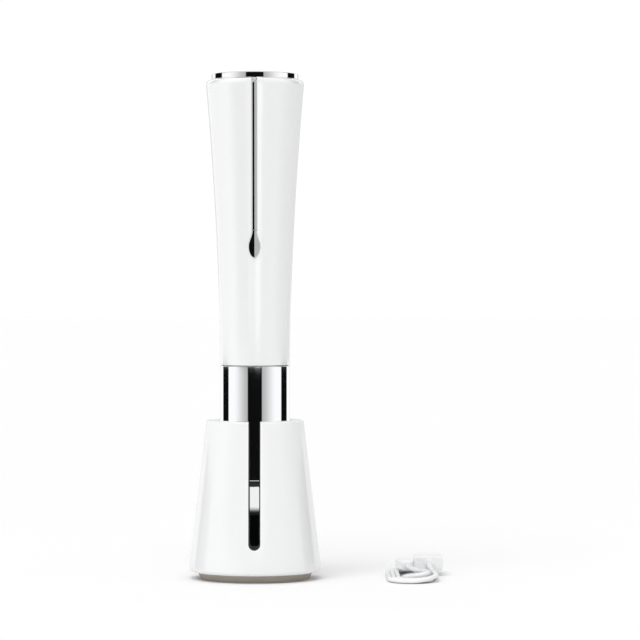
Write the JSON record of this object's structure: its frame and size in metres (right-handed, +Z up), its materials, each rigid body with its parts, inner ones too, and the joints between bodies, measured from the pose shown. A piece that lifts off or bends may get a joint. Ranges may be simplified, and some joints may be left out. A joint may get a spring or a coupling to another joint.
{
  "type": "electric wine opener",
  "caption": "Battery-driven corkscrew with a flared body and mirror collar, upright in a conical slotted stand, with its charging cable coiled on the table.",
  "frame": {"origin": "centre of the foot's underside, on the opener's long axis", "axes": "+Z up the opener; the button, trim line and stand slot face -Y; the charging cable lies on the +X side"},
  "size_m": [0.1383, 0.0718, 0.2749],
  "materials": {
    "white_gloss": "polished white moulding",
    "black_plastic": "satin black",
    "gasket_rubber": "satin black",
    "foot_rubber": "matt taupe",
    "chrome": "mirror",
    "grey_plastic": "moulded",
    "nylon": "natural nylon",
    "bronze": "satin",
    "steel": "bright",
    "coated_steel": "dark low-friction coating",
    "magnet": "sintered",
    "copper": "varnished windings",
    "cell_wrap": "shrink sleeve",
    "board_green": "solder mask",
    "cable_white": "smooth satin",
    "clear_film": "clear gloss"
  },
  "bodies": {
    "stand": {"stand_shell": "white_gloss", "stand_liner": "black_plastic", "stand_base": "white_gloss", "foot_pad": "foot_rubber", "base_screw_1": "steel", "base_screw_2": "steel", "base_screw_3": "steel"},
    "opener": {"body_shell": "white_gloss", "top_cap": "chrome", "cap_seat": "grey_plastic", "cap_screw_1": "steel", "cap_screw_2": "steel", "trim_strip": "chrome", "collar": "chrome", "collar_gasket": "gasket_rubber", "mouth_guide": "chrome", "neck_sleeve": "nylon", "gearbox_housing": "grey_plastic", "spindle_bush": "bronze", "gearbox_screw_1": "steel", "gearbox_screw_2": "steel", "motor_plate": "steel", "plate_screw_1": "steel", "plate_screw_2": "steel", "motor_screw_1": "steel", "motor_screw_2": "steel", "motor_can": "steel", "motor_end_cap": "black_plastic", "motor_magnet": "magnet", "inner_frame": "grey_plastic", "battery_cell": "cell_wrap", "battery_spring": "steel", "battery_contact": "bronze", "main_board": "board_green", "board_screw_1": "steel", "board_screw_2": "steel", "charge_board": "board_green", "charging_socket": "steel", "tact_switch": "black_plastic"},
    "button": {"drop_button": "chrome"},
    "worm_drive": {"worm": "coated_steel", "worm_spindle": "steel", "planet_carrier": "steel", "planet_pin_1": "steel", "planet_pin_2": "steel", "planet_pin_3": "steel"},
    "motor_rotor": {"motor_shaft": "steel", "armature": "copper", "sun_gear": "bronze"},
    "planet_1": {"planet_gear_1": "nylon"},
    "planet_2": {"planet_gear_2": "nylon"},
    "planet_3": {"planet_gear_3": "nylon"},
    "charge_cable": {"usb_a_shell": "steel", "usb_a_body": "cable_white", "micro_usb_shell": "steel", "micro_usb_body": "cable_white", "cable_coil": "cable_white", "usb_a_lead": "cable_white", "micro_usb_lead": "cable_white", "film_band": "clear_film"}
  },
  "joints": [
    {"name": "opener_lift", "type": "slide", "parent": "stand", "child": "opener", "axis": [0, 0, 1], "range_m": [0, 0.12]},
    {"name": "drop_button_press", "type": "slide", "parent": "opener", "child": "button", "axis": [0, 1, 0], "range_m": [0, 0.0005], "stiffness_N_per_m": 800},
    {"name": "worm_spin", "type": "hinge", "parent": "opener", "child": "worm_drive", "pos_m": [0, 0, 0.126], "axis": [0, 0, 1], "continuous": true},
    {"name": "motor_spin", "type": "hinge", "parent": "opener", "child": "motor_rotor", "pos_m": [0, 0, 0.15], "axis": [0, 0, 1], "continuous": true},
    {"name": "planet_1_spin", "type": "hinge", "parent": "worm_drive", "child": "planet_1", "pos_m": [0, 0.0081, 0.13], "axis": [0, 0, 1], "continuous": true},
    {"name": "planet_2_spin", "type": "hinge", "parent": "worm_drive", "child": "planet_2", "pos_m": [-0.00702, -0.00405, 0.13], "axis": [0, 0, 1], "continuous": true},
    {"name": "planet_3_spin", "type": "hinge", "parent": "worm_drive", "child": "planet_3", "pos_m": [0.00702, -0.00405, 0.13], "axis": [0, 0, 1], "continuous": true},
    {"name": "cable_slide", "type": "slide", "parent": "stand", "child": "charge_cable", "axis": [1, 0, 0], "range_m": [0, 0.08]}
  ],
  "couplings": [
    {"joint": "motor_spin", "follows": "worm_spin", "ratio": 4.5},
    {"joint": "planet_1_spin", "follows": "worm_spin", "ratio": -2.8},
    {"joint": "planet_2_spin", "follows": "worm_spin", "ratio": -2.8},
    {"joint": "planet_3_spin", "follows": "worm_spin", "ratio": -2.8}
  ]
}
